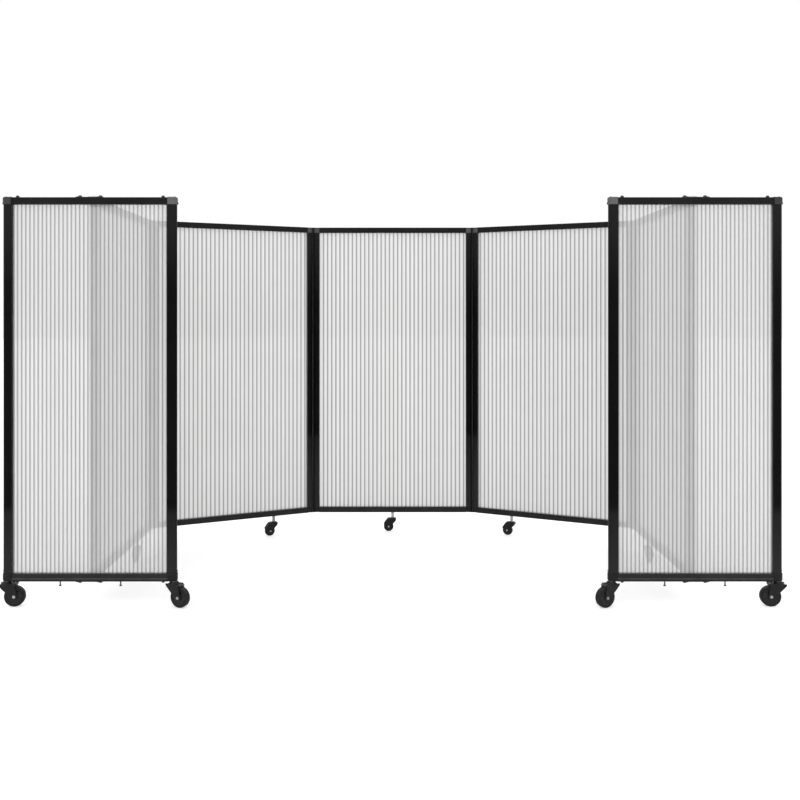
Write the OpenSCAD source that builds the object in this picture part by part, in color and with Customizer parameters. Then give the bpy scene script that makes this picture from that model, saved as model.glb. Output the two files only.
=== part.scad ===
// Mobile accordion folding partition: five folding panels and two end panels on castors.
// X runs along the back panel, +Y points away from the viewer, +Z is up, the floor is z = 0.

/* [Frame] */
// Height of every frame from its lower edge to its upper edge
frame_h = 1426; // [1000:1:2200]
// Height of the frames' lower edge above the floor
ground_gap = 96; // [95:0.5:140]
// Thickness of the posts, front to back
panel_t = 30; // [29:0.5:32]
// Wall of the hollow aluminium sections
wall = 2; // [1.4:0.1:2.2]
// Height of the top rails and of the folding panels' bottom rails
rail_h = 26; // [25:0.5:40]
// How far the rails' faces lie behind the posts' faces
rail_inset = 1; // [0:0.1:1.5]
// Width of the folding panels' posts
post_w = 30; // [29.5:0.5:40]

/* [Folding panels] */
// Distance from one hinge line to the next
panel_pitch = 800; // [600:1:1100]
// Turn of the inner folding panels from the back panel
inner_turn = 25.5; // [0:0.5:60]
// Further turn of the outer folding panels
outer_turn = 64.5; // [20:0.5:90]

/* [End panels] */
// Width of an end panel
end_w = 646; // [560:1:760]
// Width of an end panel's posts
end_post_w = 35; // [32:0.5:45]
// Height of an end panel's base rail
base_rail_h = 28; // [27:0.5:40]
// Height of the lip along the base rail's lower edge
lip_h = 8.5; // [3:0.5:9]
// Length of the pivot arms, from the pivot pin to the end panel's mid-plane
pivot_arm_l = 38; // [36:0.5:60]

/* [Sheets] */
// Thickness of the fluted sheets
sheet_t = 6; // [4:0.1:6.5]
// Skin of the fluted sheets
skin_t = 0.8; // [0.4:0.1:1.2]
// Thickness of the webs between the flutes
web_t = 1; // [0.4:0.1:2]
// Flutes across a folding panel's sheet
panel_flutes = 37; // [10:1:60]
// Flutes across an end panel's sheet
end_flutes = 39; // [10:1:60]
// Depth of the grooves that hold the sheets
groove_d = 10; // [7:0.5:10]
// Clearance on each face of a sheet in its groove
sheet_gap = 0.2; // [0.1:0.05:0.4]
// Room left for the sheet to grow at the bottom of its groove
growth_gap = 0.8; // [0.2:0.1:2]

/* [Hinges] */
// Diameter of the hinge and pivot pins
pin_d = 10; // [6:0.5:12]
// Length of the hinge pins below their plate
pin_l = 20; // [10:0.5:22]
// Radial running clearance of pins, stems and axles
run_gap = 0.05; // [0.02:0.01:0.1]
// Width of the hinge plates
plate_w = 24; // [18:0.5:24]
// Thickness of the hinge plates
plate_t = 3; // [2:0.1:4]
// Gap between two neighbouring posts
nose_gap = 5; // [4.4:0.1:9]
// Thickness of the strip that closes the gap between two posts
strip_t = 4; // [1.5:0.1:4]

/* [Corner blocks and caps] */
// Length of the spigots inside posts and rails
spigot_l = 26; // [12:1:60]
// Clearance of the spigots, and of the screws in their holes
spigot_gap = 0.15; // [0.05:0.01:0.4]
// How far the end panels' corner caps stand proud of the posts
cap_proud = 2.5; // [0.5:0.5:4]
// How far the top caps rise above the top rail
cap_rise = 2; // [0.5:0.5:5]
// Width that a corner cap covers, from the panel's outer edge
cap_cover = 32.5; // [30:0.5:34]
// Rounding of the caps' edges
cap_round = 6; // [2:0.5:8]

/* [Screws, pivot brackets and stop pins] */
// Head diameter of the large dome screws
screw_head_d = 14; // [8:0.5:16]
// Head height of the large dome screws
screw_head_h = 5; // [2:0.5:7]
// Shank diameter of the large dome screws
screw_d = 5; // [3:0.5:6]
// Head diameter of the small cap screws
small_head_d = 7; // [4:0.5:9]
// Head height of the small cap screws
small_head_h = 1.8; // [1:0.1:3]
// Shank diameter of the small cap screws
small_screw_d = 3; // [2:0.5:4]
// Distance of the rail screws from the post's inner edge
rail_screw_in = 17; // [14:0.5:40]
// Distance between the two screws of a pivot bracket
bracket_screws = 76; // [70:0.5:110]
// Height of the bracket's raised pads
pad_h = 3.5; // [2.5:0.5:6]
// Width of a raised pad at its foot
pad_w = 32; // [24:0.5:40]
// Thickness of the bracket's arm to the pivot pin
arm_t = 3; // [2:0.1:4]
// Width of the bracket's arm
arm_w = 42; // [30:0.5:44]
// Height of the pale cap over the top pivot
pivot_cap_h = 6.5; // [3:0.5:12]
// Distance between the two stop pins of an end panel
stop_spacing = 225; // [150:1:400]
// Length of a stop pin below the base rail
stop_l = 20; // [10:0.5:40]
// Diameter of a stop pin
stop_d = 5; // [3:0.5:8]
// Diameter of a stop pin's foot
stop_foot_d = 10; // [9:0.5:20]

/* [Large castors] */
// Wheel diameter of the large castors
large_wheel_d = 76; // [68:0.5:76]
// Wheel width of the large castors
large_wheel_w = 24; // [18:0.5:26]
// Trail of the large castors
large_trail = 29; // [26:0.5:32]
// Distance of a large castor's stem from the end panel's outer edge
large_stem_in = 12; // [11:0.5:15]
// Stem diameter of the large castors
large_stem_d = 11; // [8:0.5:12]
// Length of the large stems in the corner caps
large_stem_l = 24; // [12:0.5:26]
// Swing of the outer large castors away from the viewer
outside_swing = 6; // [-60:1:60]
// Swing of the inner large castors away from the viewer
inside_swing = -25; // [-60:1:60]

/* [Small castors] */
// Wheel diameter of the small castors
small_wheel_d = 48; // [40:0.5:52]
// Wheel width of the small castors
small_wheel_w = 18; // [12:0.5:22]
// Trail of the small castors
small_trail = 20; // [16:0.5:22]
// Distance of the small castors from their panel's pin
small_castor_in = 188; // [120:1:380]
// Stem diameter of the small castors
small_stem_d = 11.5; // [8:0.5:12]
// Length of the small stems in the bottom rails
small_stem_l = 13; // [8:0.5:13]

/* [Hidden] */
$fn = 96;
cut = 1;
grey = "#5c5c5e";
black = "#1d1d1f";
hub_grey = "#8b8d90";
rubber = "#2b2b2d";
pane = "#eceeef";

// Levels and sections
frame_top = ground_gap + frame_h;
mid_z = ground_gap + frame_h / 2;
nose_r = panel_t / 2;
groove_w = sheet_t + 2 * sheet_gap;
sheet_in = groove_d - growth_gap;
pin_bore_d = pin_d + 2 * run_gap;

// Plan of the folding panels
link_pitch = panel_t + nose_gap;
pin_span = panel_pitch - link_pitch;
pin_half = pin_span / 2;
panel_clear = pin_span - 2 * (post_w - nose_r);
link1_dir = -inner_turn / 2;
inner_dir = -inner_turn;
link2_dir = inner_dir - outer_turn / 2;
outer_dir = inner_dir - outer_turn;
hinge_a = [pin_half, 0];
hinge_b = hinge_a + polar(link_pitch, link1_dir);
hinge_c = hinge_b + polar(pin_span, inner_dir);
hinge_d = hinge_c + polar(link_pitch, link2_dir);
pivot_pos = hinge_d + polar(pin_span, outer_dir);

// End panels
end_dir = outer_dir + 90;
end_mid = pivot_pos + polar(pivot_arm_l, outer_dir);
end_post_x = end_w / 2 - nose_r;
end_clear = end_w - 2 * end_post_w;
cap_r = nose_r + cap_proud;
cap_in = cap_cover - nose_r;
top_rail_l = end_w - 2 * cap_cover;
stem_x = end_w / 2 - large_stem_in;
rail_screw_x = end_clear / 2 - rail_screw_in;
side_screw_up = 5;
side_screw_over = 8;
cap_screw_out = 6;
small_shank_l = 8.5;
thread_in = 5;
foot_t = 3;
side_high_z = frame_top - rail_h + side_screw_up;
side_low_z = ground_gap + base_rail_h + side_screw_over;
cap_screw_x = end_post_x + cap_screw_out;
small_hole_d = small_screw_d + 2 * spigot_gap;

// Hinge plates in their recess
plate_gap = 0.3;
plate_drop = 0.2;
recess_d = plate_t + plate_gap + plate_drop;
lip_x = plate_w / 2 + plate_gap;

// Large castors
tread_gap = 2;
leg_t = 3;
large_r = large_wheel_d / 2;
large_leg_y = large_wheel_w / 2 + tread_gap;
crown_gap = 4;
crown_z = large_wheel_d + crown_gap;
crown_t = 4;
crown_r = 23;
leg_front = 3;
knee_x = -4;
knee_up = 18;
crown_top_r = 15.5;
collar_h = 3;
collar_r = 7.5;
crown_top_z = ground_gap - collar_h;
seat_gap = 0.3;
large_hub_r = 11;
large_axle_d = 8;
large_bolt_d = 11;
large_tyre_t = 11;
pedal_out = 4.3;
pedal_up = 3;
pedal_x = crown_r + pedal_out;
pedal_z = crown_z + pedal_up;
pedal_barrel_r = 3.6;
pedal_pin_d = 4;
pedal_l = 10;
pedal_drop = 2.2;
pedal_tip_r = 2;
pedal_gap = 2;
ear_r = 5;

// Small castors
small_r = small_wheel_d / 2;
small_tread_gap = 1.5;
small_arch_gap = 2;
hood_t = 2;
hood_front = 17;
hood_up = 17;
hood_low = 6;
hood_back_low = 25;
hood_back_high = 50;
small_leg_y = small_wheel_w / 2 + small_tread_gap;
small_arch_r = small_r + small_arch_gap;
small_head_z = small_wheel_d + hood_up;
small_axle_d = 6;
small_bolt_d = 7.5;
small_hub_r = 8.5;
small_tyre_t = 7;
seat_wall = 4;
castor_x = small_castor_in - pin_half;

// The whole is centred front to back between the end panels' castors and the back panel
castor_front = (large_trail + large_r) * sin(abs(inside_swing))
    + (large_leg_y + leg_t) * cos(inside_swing);
plan_shift = (castor_front - end_mid[1] - nose_r) / 2;

function polar(r, a) = [r * cos(a), r * sin(a)];

// ---- placing -------------------------------------------------------------

// Both ends of a panel, the second mirrored
module both_ends(x) {
    for (flip = [0, 1])
        mirror([flip, 0, 0]) translate([x, 0, 0]) children();
}

// The same piece at the top and, mirrored about mid-height, at the bottom
module top_and_bottom() {
    for (flip = [0, 1])
        translate([0, 0, mid_z]) mirror([0, 0, flip]) translate([0, 0, -mid_z]) children();
}

// A section drawn across the panel, drawn out along it
module along_panel(length) {
    rotate([90, 0, 90]) linear_extrude(length, center = true) children();
}

// A side view of a castor, drawn out across it
module across_castor(width) {
    rotate([90, 0, 0]) linear_extrude(width, center = true) children();
}

// The half of the plan on the given side, -1 for left and 1 for right
module plan(side) {
    translate([0, plan_shift, 0]) mirror([side < 0 ? 1 : 0, 0, 0]) children();
}

module centre_panel() {
    plan(1) children();
}

module inner_panel(side) {
    plan(side) translate((hinge_b + hinge_c) / 2) rotate(inner_dir) children();
}

module outer_panel(side) {
    plan(side) translate((hinge_d + pivot_pos) / 2) rotate(outer_dir) children();
}

module end_panel(side) {
    plan(side) translate(end_mid) rotate(end_dir) children();
}

module inner_hinge(side) {
    plan(side) translate(hinge_a) rotate(link1_dir) children();
}

module outer_hinge(side) {
    plan(side) translate(hinge_c) rotate(link2_dir) children();
}

// ---- posts, rails and sheets ---------------------------------------------

// D-shaped outline of a post round its pin axis, nose towards +X
module post_outline(w) {
    circle(r = nose_r);
    translate([nose_r - w, -nose_r]) square([w - nose_r, panel_t]);
}

// Hollow of a post that takes the corner spigots, drawn in by a gap
module nose_hollow(w, gap) {
    half = nose_r - wall - gap;
    start = nose_r - w + groove_d + wall + gap;
    intersection() {
        circle(r = half);
        translate([0, -half]) square([half, 2 * half]);
    }
    translate([start, -half]) square([-start, 2 * half]);
}

module post_section(w) {
    inner_x = nose_r - w;
    chamber_y = groove_w / 2 + wall;
    difference() {
        post_outline(w);
        nose_hollow(w, 0);
        translate([inner_x - cut, -groove_w / 2]) square([groove_d + cut, groove_w]);
        for (flip = [0, 1])
            mirror([0, flip]) translate([inner_x + wall, chamber_y])
                square([groove_d - wall, nose_r - wall - chamber_y]);
    }
}

// Posts at both ends of a panel, between its bottom and top corners
module posts(x, w, low, high) {
    color(black)
        both_ends(x) translate([0, 0, low]) linear_extrude(high - low) post_section(w);
}

// Chamber of a rail above its groove, drawn in by a gap
module rail_chamber(h, gap) {
    half = nose_r - rail_inset - wall - gap;
    translate([-half, groove_d + wall + gap])
        square([2 * half, h - groove_d - 2 * wall - 2 * gap]);
}

// Section of a rail, its groove opening downwards at height 0
module rail_section(h) {
    half = nose_r - rail_inset;
    side_y = groove_w / 2 + wall;
    difference() {
        translate([-half, 0]) square([2 * half, h]);
        translate([-groove_w / 2, -cut]) square([groove_w, groove_d + cut]);
        rail_chamber(h, 0);
        for (flip = [0, 1])
            mirror([flip, 0]) translate([side_y, wall])
                square([half - wall - side_y, groove_d - wall]);
    }
}

module top_rail(length) {
    translate([0, 0, frame_top - rail_h]) along_panel(length) rail_section(rail_h);
}

module bottom_rail(length, h) {
    translate([0, 0, ground_gap + h]) mirror([0, 0, 1]) along_panel(length) rail_section(h);
}

// Fluted sheet: two skins with upright webs between them
module sheet(clear_w, flutes, low, high) {
    w = clear_w + 2 * sheet_in;
    flute_pitch = (w - web_t) / flutes;
    color(pane)
        translate([-w / 2, 0, low - sheet_in]) linear_extrude(high - low + 2 * sheet_in)
            difference() {
                translate([0, -sheet_t / 2]) square([w, sheet_t]);
                for (i = [0 : flutes - 1])
                    translate([web_t + i * flute_pitch, skin_t - sheet_t / 2])
                        square([flute_pitch - web_t, sheet_t - 2 * skin_t]);
            }
}

// ---- folding panels ------------------------------------------------------

module folding_posts() {
    posts(pin_half, post_w, ground_gap + rail_h, frame_top - rail_h);
}

// Rails with the seat of the small castor's stem at castor_x
module folding_rails(castor_x) {
    color(black) {
        top_rail(panel_clear);
        difference() {
            union() {
                bottom_rail(panel_clear, rail_h);
                translate([castor_x, 0, ground_gap])
                    cylinder(r = small_stem_d / 2 + seat_wall, h = rail_h - groove_d);
            }
            translate([castor_x, 0, ground_gap - cut])
                cylinder(d = small_stem_d + 2 * run_gap, h = small_stem_l + 2 * cut);
        }
    }
}

module folding_sheet() {
    sheet(panel_clear, panel_flutes, ground_gap + rail_h, frame_top - rail_h);
}

// One corner block at the top: body, spigots, pin bore and recess for the hinge plate
module corner_block() {
    inner_x = nose_r - post_w;
    low = frame_top - rail_h;
    difference() {
        union() {
            translate([0, 0, low]) linear_extrude(rail_h) post_outline(post_w);
            translate([0, 0, low - spigot_l]) linear_extrude(spigot_l + cut)
                nose_hollow(post_w, spigot_gap);
            translate([inner_x - spigot_l / 2, 0, low]) along_panel(spigot_l + cut)
                rail_chamber(rail_h, spigot_gap);
        }
        translate([-lip_x, -panel_t, frame_top - recess_d])
            cube([2 * panel_t, 2 * panel_t, recess_d + cut]);
        translate([0, 0, low - spigot_l - cut])
            cylinder(d = pin_bore_d, h = spigot_l + rail_h + 2 * cut);
        translate([inner_x - cut, -groove_w / 2, low - cut])
            cube([groove_d + cut, groove_w, groove_d + cut]);
    }
}

module corner_blocks() {
    color(grey) top_and_bottom() both_ends(pin_half) corner_block();
}

// Hinge between two posts: plates with two pins each, and the strip that closes the gap
module hinge() {
    plate_z = frame_top - plate_drop - plate_t;
    strip_h = 2 * (plate_z - mid_z);
    color(black) {
        top_and_bottom() {
            translate([0, 0, plate_z]) linear_extrude(plate_t) {
                circle(d = plate_w);
                translate([0, -plate_w / 2]) square([link_pitch, plate_w]);
                translate([link_pitch, 0]) circle(d = plate_w);
            }
            for (x = [0, link_pitch])
                translate([x, 0, plate_z - pin_l]) cylinder(d = pin_d, h = pin_l + cut);
        }
        translate([(link_pitch - strip_t) / 2, -plate_w / 2, mid_z - strip_h / 2])
            cube([strip_t, plate_w, strip_h]);
    }
}

// ---- end panels ----------------------------------------------------------

module end_posts() {
    color(black)
        difference() {
            posts(end_post_x, end_post_w, ground_gap + base_rail_h, frame_top - rail_h);
            for (flip = [0, 1])
                mirror([flip, 0, 0])
                    side_screw_place(side_low_z) cylinder(d = small_hole_d, h = panel_t);
        }
}

// Upright holes along a rail, mirrored about the panel's middle
module rail_holes(x, d, z, depth) {
    both_ends(x) translate([0, 0, z]) cylinder(d = d + 2 * spigot_gap, h = depth);
}

module end_rails() {
    skin_hole = wall + 2 * cut;
    color(black) {
        difference() {
            top_rail(top_rail_l);
            for (x = [rail_screw_x, bracket_screws / 2])
                rail_holes(x, screw_d, frame_top - wall - cut, skin_hole);
        }
        difference() {
            union() {
                bottom_rail(top_rail_l, base_rail_h);
                base_lip();
            }
            for (x = [rail_screw_x, bracket_screws / 2])
                rail_holes(x, screw_d, ground_gap - cut, skin_hole);
            rail_holes(stop_spacing / 2, stop_d, ground_gap - cut, skin_hole);
        }
    }
}

// Lip along both faces of the base rail
module base_lip() {
    half = nose_r - rail_inset;
    for (flip = [0, 1])
        mirror([0, flip, 0]) translate([-top_rail_l / 2, half - wall / 2, ground_gap])
            cube([top_rail_l, rail_inset + wall / 2, lip_h]);
}

module end_sheet() {
    sheet(end_clear, end_flutes, ground_gap + base_rail_h, frame_top - rail_h);
}

// Half of a corner cap's upright section, its upper outer corner rounded
module cap_side(h) {
    square([cap_r, h - cap_round]);
    square([cap_r - cap_round, h]);
    translate([cap_r - cap_round, h - cap_round]) circle(r = cap_round);
}

// Corner cap standing on height 0, its spigots below and towards the rail
module corner_cap(h, rail) {
    difference() {
        union() {
            rotate_extrude() cap_side(h);
            translate([-cap_in / 2, 0, 0]) along_panel(cap_in) {
                cap_side(h);
                mirror([1, 0]) cap_side(h);
            }
            translate([0, 0, -spigot_l]) linear_extrude(spigot_l + cut)
                nose_hollow(end_post_w, spigot_gap);
            translate([-cap_in - spigot_l / 2, 0, 0]) along_panel(spigot_l + cut)
                rail_chamber(rail, spigot_gap);
        }
        translate([nose_r - end_post_w - cut, -groove_w / 2, -cut])
            cube([groove_d + cut, groove_w, groove_d + cut]);
    }
}

// Where the small screw enters the outer side of a cap or post, at height z
module side_screw_place(z) {
    translate([end_post_x, 0, z]) rotate([0, 90, 0]) children();
}

module end_corner_caps() {
    color(grey)
        for (flip = [0, 1])
            mirror([flip, 0, 0]) {
                difference() {
                    translate([end_post_x, 0, frame_top - rail_h])
                        corner_cap(rail_h + cap_rise, rail_h);
                    translate([cap_screw_x, 0, frame_top - rail_h / 2])
                        cylinder(d = small_hole_d, h = rail_h);
                    side_screw_place(side_high_z) cylinder(d = small_hole_d, h = panel_t);
                    spigot_hole(frame_top - rail_h);
                }
                difference() {
                    translate([end_post_x, 0, ground_gap + base_rail_h]) mirror([0, 0, 1])
                        corner_cap(base_rail_h, base_rail_h);
                    translate([stem_x, 0, ground_gap - cut])
                        cylinder(d = large_stem_d + 2 * run_gap, h = large_stem_l + 2 * cut);
                    side_screw_place(side_low_z) cylinder(d = small_hole_d, h = panel_t);
                    spigot_hole(ground_gap);
                }
            }
}

// Hole for a rail screw through a cap's spigot in the rail that starts at height z
module spigot_hole(z) {
    translate([rail_screw_x, 0, z]) cylinder(d = screw_d + 2 * spigot_gap, h = rail_h);
}

// Dome-headed screw seated on z = 0
module dome_screw(head_d, head_h, shank_d, shank_l) {
    r = (head_d * head_d / 4 + head_h * head_h) / (2 * head_h);
    rotate_extrude() intersection() {
        translate([0, head_h - r]) circle(r = r);
        square([head_d / 2, head_h]);
    }
    translate([0, 0, -shank_l]) cylinder(d = shank_d, h = shank_l + head_h / 4);
}

module large_screw(shank_l) {
    dome_screw(screw_head_d, screw_head_h, screw_d, shank_l);
}

module small_screw() {
    dome_screw(small_head_d, small_head_h, small_screw_d, small_shank_l);
}

module end_screws() {
    shank_l = wall + thread_in;
    color(black)
        for (flip = [0, 1])
            mirror([flip, 0, 0]) {
                top_and_bottom() {
                    translate([rail_screw_x, 0, frame_top]) large_screw(shank_l);
                    translate([bracket_screws / 2, 0, frame_top + pad_h])
                        large_screw(pad_h + shank_l);
                }
                translate([cap_screw_x, 0, frame_top + cap_rise]) small_screw();
                side_screw_place(side_high_z) translate([0, 0, cap_r]) small_screw();
                side_screw_place(side_low_z) translate([0, 0, nose_r]) small_screw();
            }
}

// Pivot bracket on the top rail: two pads, a web, and an arm back to the pivot pin
module pivot_bracket() {
    web_h = pad_h / 2;
    pad_x = bracket_screws / 2;
    depth = panel_t - 4 * rail_inset;
    hole_d = screw_d + 2 * spigot_gap;
    boss_h = recess_d;
    difference() {
        union() {
            both_ends(pad_x) rotate([90, 0, 0]) linear_extrude(depth, center = true)
                polygon([
                    [-pad_w / 2, 0], [pad_w / 2, 0],
                    [screw_head_d / 2, pad_h], [-screw_head_d / 2, pad_h]
                ]);
            translate([-pad_x, -depth / 2, 0]) cube([bracket_screws, depth, web_h]);
            translate([0, 0, plate_gap]) linear_extrude(arm_t) {
                translate([-arm_w / 2, 0]) square([arm_w, pivot_arm_l]);
                translate([0, pivot_arm_l]) circle(d = arm_w);
            }
            translate([0, pivot_arm_l, plate_gap - boss_h])
                cylinder(d = plate_w - 2 * plate_gap, h = boss_h + cut);
            translate([0, pivot_arm_l, -recess_d - pin_l])
                cylinder(d = pin_d, h = recess_d + pin_l + cut);
        }
        both_ends(pad_x) translate([0, 0, -cut]) cylinder(d = hole_d, h = pad_h + 2 * cut);
    }
}

// Low domed cap over the top pivot
module pivot_cap() {
    round_r = pivot_cap_h / 2;
    rotate_extrude() {
        square([arm_w / 2, pivot_cap_h - round_r]);
        square([arm_w / 2 - round_r, pivot_cap_h]);
        translate([arm_w / 2 - round_r, pivot_cap_h - round_r]) circle(r = round_r);
    }
}

module end_pivot_brackets() {
    color(black) {
        top_and_bottom() translate([0, 0, frame_top]) pivot_bracket();
        translate([0, pivot_arm_l, frame_top + plate_gap + arm_t - cut / 2]) pivot_cap();
    }
}

module end_stop_pins() {
    color(black)
        both_ends(stop_spacing / 2) {
            translate([0, 0, ground_gap - stop_l])
                cylinder(d = stop_d, h = stop_l + wall + thread_in);
            translate([0, 0, ground_gap - stop_l]) cylinder(d = stop_foot_d, h = foot_t);
        }
}

// ---- castors -------------------------------------------------------------

// Tyre and hub as one turned solid on the Y axis, its faces dished between hub and tyre
module wheel(r, w, hub_r, bore_d, tyre_t) {
    round_r = w / 5;
    rim_r = r - tyre_t;
    dish = w / 8;
    rotate([90, 0, 0]) rotate_extrude() difference() {
        union() {
            translate([bore_d / 2, -w / 2]) square([r - round_r - bore_d / 2, w]);
            translate([r - 2 * round_r, round_r - w / 2]) square([2 * round_r, w - 2 * round_r]);
            for (y = [round_r - w / 2, w / 2 - round_r])
                translate([r - round_r, y]) circle(r = round_r);
        }
        for (flip = [0, 1])
            mirror([0, flip]) translate([hub_r, w / 2 - dish])
                square([rim_r - hub_r, dish + cut]);
    }
}

// Axle with a bolt head and a nut outside the legs, along Y
module axle(d, bolt_d, leg_out) {
    head_t = d / 3;
    rotate([90, 0, 0]) {
        cylinder(d = d, h = 2 * leg_out, center = true);
        for (flip = [0, 1])
            mirror([0, 0, flip]) translate([0, 0, leg_out - cut / 2])
                cylinder(d = bolt_d, h = head_t + cut / 2);
    }
}

// Side view of a large fork's leg: a slanted front edge, an ear for the pedal, a round end
module large_leg() {
    translate([large_trail, large_r]) circle(r = large_hub_r);
    translate([pedal_x, pedal_z]) circle(r = ear_r);
    polygon([
        [-crown_r - leg_front, crown_z + crown_t],
        [-crown_r - leg_front, crown_z],
        [knee_x, large_r + knee_up],
        [large_trail - large_hub_r, large_r],
        [large_trail + large_hub_r, large_r],
        [pedal_x + ear_r, pedal_z],
        [pedal_x, crown_z + crown_t]
    ]);
}

module large_fork() {
    leg_out = large_leg_y + leg_t;
    color(black) {
        difference() {
            union() {
                for (flip = [0, 1])
                    mirror([0, flip, 0]) translate([0, large_leg_y + leg_t / 2, 0])
                        across_castor(leg_t) large_leg();
                translate([0, 0, crown_z]) cylinder(r = crown_r, h = crown_t);
                translate([0, 0, crown_z + crown_t])
                    cylinder(
                        r1 = crown_r, r2 = crown_top_r, h = crown_top_z - crown_z - crown_t
                    );
                translate([0, 0, crown_top_z - cut])
                    cylinder(r = collar_r, h = collar_h - seat_gap + cut);
                translate([0, 0, crown_top_z])
                    cylinder(d = large_stem_d, h = collar_h + large_stem_l);
            }
            translate([pedal_x, 0, pedal_z]) rotate([90, 0, 0])
                cylinder(d = pedal_pin_d + 2 * run_gap, h = 2 * (leg_out + cut), center = true);
        }
        translate([large_trail, 0, large_r]) axle(large_axle_d, large_bolt_d, leg_out);
    }
}

module large_wheel() {
    color(rubber)
        translate([large_trail, 0, large_r])
            wheel(large_r, large_wheel_w, large_hub_r, large_axle_d + 2 * run_gap, large_tyre_t);
}

// Brake pedal: a barrel on its pin and a drooping tongue
module large_pedal() {
    width = 2 * (large_leg_y - pedal_gap / 2);
    color(rubber)
        translate([pedal_x, 0, pedal_z]) {
            across_castor(width) {
                circle(r = pedal_barrel_r);
                translate([pedal_l, -pedal_drop]) circle(r = pedal_tip_r);
                polygon([
                    [0, -pedal_barrel_r], [pedal_l, -pedal_drop - pedal_tip_r],
                    [pedal_l, pedal_tip_r - pedal_drop], [0, pedal_barrel_r]
                ]);
            }
            rotate([90, 0, 0])
                cylinder(d = pedal_pin_d, h = 2 * (large_leg_y + leg_t), center = true);
        }
}

// Side view of a small fork: a hood over the wheel that runs down to a round end
module small_side() {
    hood_r = small_arch_r + hood_t;
    translate([small_trail, small_r]) circle(r = small_hub_r);
    polygon([
        [-hood_front, small_head_z],
        [-hood_front, small_wheel_d + hood_low],
        [small_trail - small_hub_r, small_r],
        [small_trail + small_hub_r, small_r],
        [small_trail + hood_r * cos(hood_back_low), small_r + hood_r * sin(hood_back_low)],
        [small_trail + hood_r * cos(hood_back_high), small_r + hood_r * sin(hood_back_high)],
        [small_trail, small_head_z]
    ]);
}

module small_fork() {
    leg_out = small_leg_y + leg_t;
    color(black) {
        difference() {
            across_castor(2 * leg_out) small_side();
            translate([small_trail, 0, small_r]) rotate([90, 0, 0])
                cylinder(r = small_arch_r, h = 2 * small_leg_y, center = true);
        }
        translate([0, 0, small_head_z - cut])
            cylinder(d = small_stem_d, h = ground_gap + small_stem_l - small_head_z + cut);
        translate([small_trail, 0, small_r]) axle(small_axle_d, small_bolt_d, leg_out);
    }
}

module small_wheel() {
    color(hub_grey)
        translate([small_trail, 0, small_r])
            wheel(small_r, small_wheel_w, small_hub_r, small_axle_d + 2 * run_gap, small_tyre_t);
}

// Places under the panels: the stem's axis at the origin, the trail along a heading
module outside_castor(side) {
    end_panel(side) translate([stem_x, 0, 0]) rotate(180 - outside_swing) children();
}

module inside_castor(side) {
    end_panel(side) translate([-stem_x, 0, 0]) rotate(180 - inside_swing) children();
}

module centre_castor() {
    centre_panel() rotate(180) children();
}

module inner_castor(side) {
    inner_panel(side) translate([castor_x, 0, 0]) rotate(side < 0 ? 0 : 180) children();
}

module outer_castor(side) {
    outer_panel(side) translate([castor_x, 0, 0]) children();
}

// ---- the nodes -----------------------------------------------------------

centre_panel() folding_posts();  // centre_posts
centre_panel() folding_rails(0);  // centre_rails
centre_panel() folding_sheet();  // centre_sheet
centre_panel() corner_blocks();  // centre_corner_blocks

inner_panel(-1) folding_posts();  // left_inner_posts
inner_panel(-1) folding_rails(castor_x);  // left_inner_rails
inner_panel(-1) folding_sheet();  // left_inner_sheet
inner_panel(-1) corner_blocks();  // left_inner_corner_blocks

outer_panel(-1) folding_posts();  // left_outer_posts
outer_panel(-1) folding_rails(castor_x);  // left_outer_rails
outer_panel(-1) folding_sheet();  // left_outer_sheet
outer_panel(-1) corner_blocks();  // left_outer_corner_blocks

inner_panel(1) folding_posts();  // right_inner_posts
inner_panel(1) folding_rails(castor_x);  // right_inner_rails
inner_panel(1) folding_sheet();  // right_inner_sheet
inner_panel(1) corner_blocks();  // right_inner_corner_blocks

outer_panel(1) folding_posts();  // right_outer_posts
outer_panel(1) folding_rails(castor_x);  // right_outer_rails
outer_panel(1) folding_sheet();  // right_outer_sheet
outer_panel(1) corner_blocks();  // right_outer_corner_blocks

inner_hinge(-1) hinge();  // left_inner_hinge
outer_hinge(-1) hinge();  // left_outer_hinge
inner_hinge(1) hinge();  // right_inner_hinge
outer_hinge(1) hinge();  // right_outer_hinge

end_panel(-1) end_posts();  // left_end_posts
end_panel(-1) end_rails();  // left_end_rails
end_panel(-1) end_sheet();  // left_end_sheet
end_panel(-1) end_corner_caps();  // left_end_corner_caps
end_panel(-1) end_pivot_brackets();  // left_end_pivot_brackets
end_panel(-1) end_screws();  // left_end_screws
end_panel(-1) end_stop_pins();  // left_end_stop_pins

end_panel(1) end_posts();  // right_end_posts
end_panel(1) end_rails();  // right_end_rails
end_panel(1) end_sheet();  // right_end_sheet
end_panel(1) end_corner_caps();  // right_end_corner_caps
end_panel(1) end_pivot_brackets();  // right_end_pivot_brackets
end_panel(1) end_screws();  // right_end_screws
end_panel(1) end_stop_pins();  // right_end_stop_pins

outside_castor(-1) large_fork();  // left_outside_fork
outside_castor(-1) large_wheel();  // left_outside_wheel
outside_castor(-1) large_pedal();  // left_outside_pedal
inside_castor(-1) large_fork();  // left_inside_fork
inside_castor(-1) large_wheel();  // left_inside_wheel
inside_castor(-1) large_pedal();  // left_inside_pedal
outside_castor(1) large_fork();  // right_outside_fork
outside_castor(1) large_wheel();  // right_outside_wheel
outside_castor(1) large_pedal();  // right_outside_pedal
inside_castor(1) large_fork();  // right_inside_fork
inside_castor(1) large_wheel();  // right_inside_wheel
inside_castor(1) large_pedal();  // right_inside_pedal

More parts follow.
